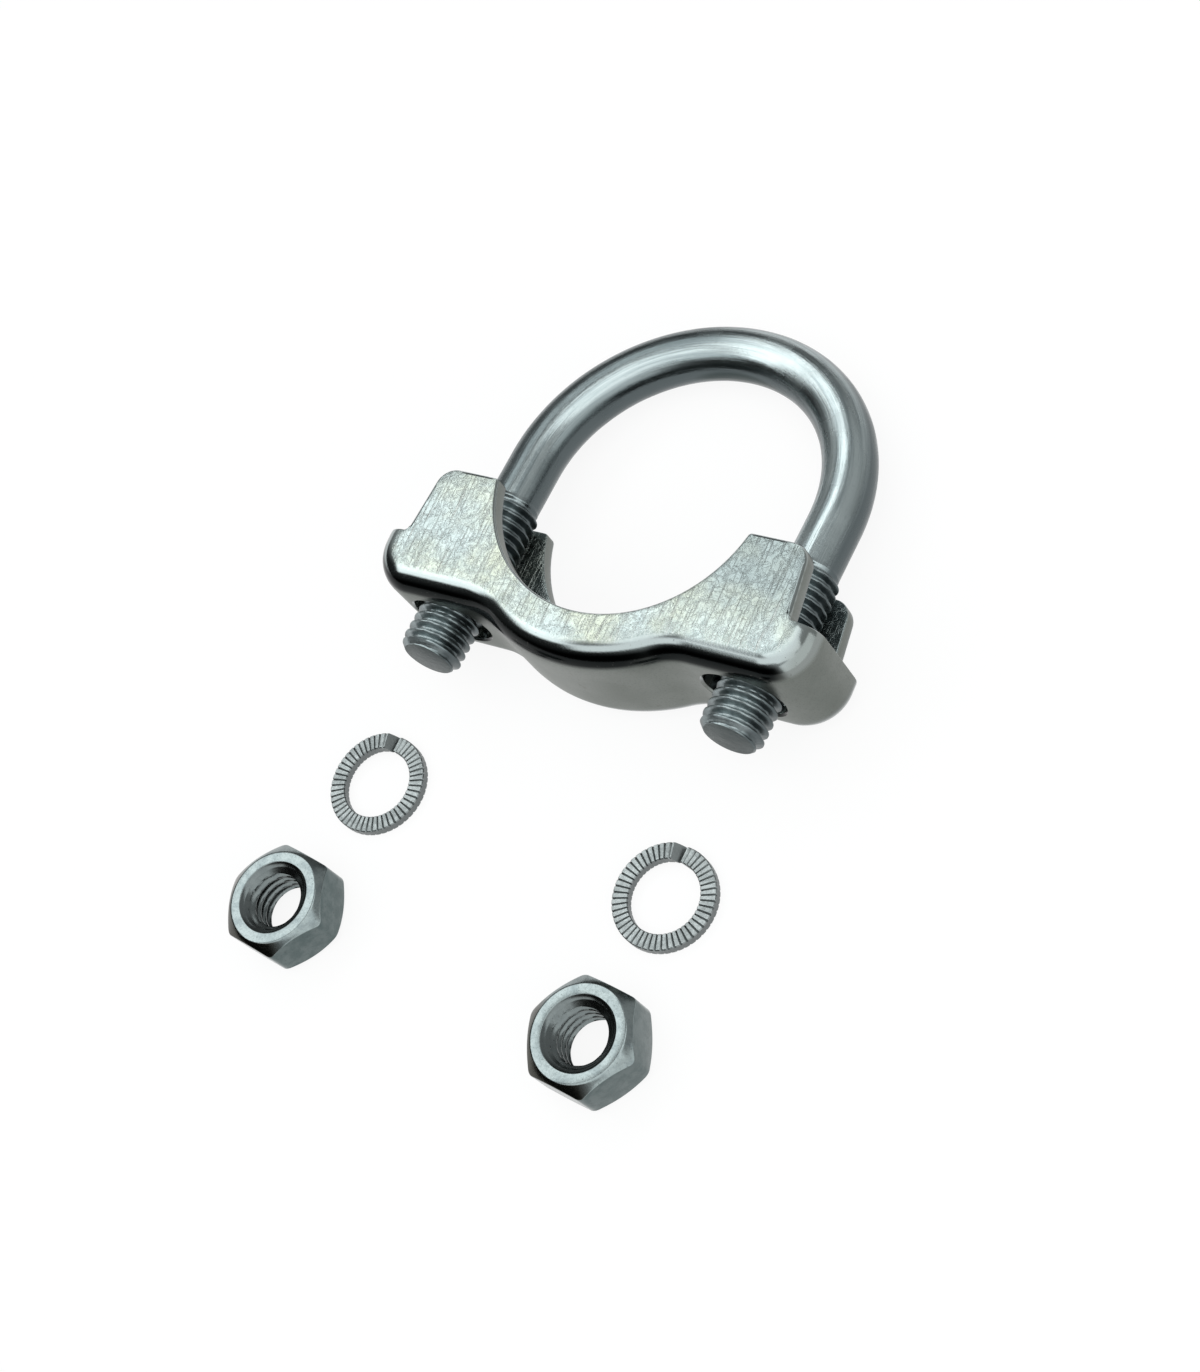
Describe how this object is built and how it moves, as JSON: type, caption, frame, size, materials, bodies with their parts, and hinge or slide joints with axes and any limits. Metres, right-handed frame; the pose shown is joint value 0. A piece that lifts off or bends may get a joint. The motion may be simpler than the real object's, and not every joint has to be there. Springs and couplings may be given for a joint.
{
  "type": "exhaust clamp",
  "caption": "U-bolt exhaust pipe clamp: a bent threaded bar, a pressed steel saddle with a pipe cradle, and its loose hexagon nuts and serrated split washers.",
  "frame": {"origin": "on the pipe's axis, halfway between the saddle's cheeks", "axes": "+Z along the pipe's axis, up as the clamp lies on its side; +Y from the saddle towards the bow; +X towards the right leg"},
  "size_m": [0.0673, 0.0985, 0.0168],
  "materials": {
    "plated_bar": "bright blue-white zinc plate, glossy",
    "plated_sheet": "bright zinc plate over drawn sheet, satin on the flats and polished on the bends",
    "plated_nut": "zinc plate, satin faces",
    "plated_washer": "matt zinc plate"
  },
  "bodies": {
    "root": {"saddle": "plated_sheet", "nut_left": "plated_nut", "nut_right": "plated_nut", "lock_washer_left": "plated_washer", "lock_washer_right": "plated_washer"},
    "bolt": {"u_bolt": "plated_bar"}
  },
  "joints": [
    {"name": "bolt_slide", "type": "slide", "parent": "root", "child": "bolt", "axis": [0, 0.9947, -0.1033], "range_m": [-0.02, 0.004]}
  ]
}
